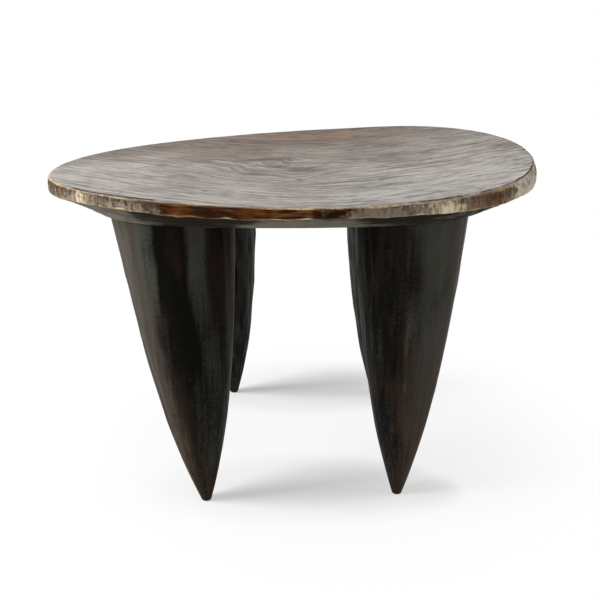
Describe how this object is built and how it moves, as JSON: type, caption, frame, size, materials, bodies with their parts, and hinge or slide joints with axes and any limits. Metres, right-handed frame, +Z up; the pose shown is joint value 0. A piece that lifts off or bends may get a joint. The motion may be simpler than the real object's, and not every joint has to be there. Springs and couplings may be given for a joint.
{
  "type": "stool",
  "caption": "Low hewn wooden stool: a thick irregular oval seat with a bevelled underside on stout legs that taper to blunt points.",
  "frame": {"origin": "on the floor, under the middle of the seat's outline", "axes": "+X along the seat to the right as seen from the front, +Y from the front to the rear, +Z up"},
  "size_m": [0.556, 0.44, 0.3697],
  "materials": {
    "seat_wood": "hewn hardwood, worn grey-brown patina, ochre where the rim's edges are rubbed",
    "leg_wood": "hewn hardwood, blackened and rubbed to a satin sheen",
    "wedge_wood": "plain split hardwood, unfinished"
  },
  "bodies": {
    "root": {"seat": "seat_wood", "leg_front_left": "leg_wood", "leg_front_right": "leg_wood", "leg_rear_left": "leg_wood", "leg_rear_right": "leg_wood", "wedge_front_left": "wedge_wood", "wedge_front_right": "wedge_wood", "wedge_rear_left": "wedge_wood", "wedge_rear_right": "wedge_wood"}
  },
  "joints": []
}
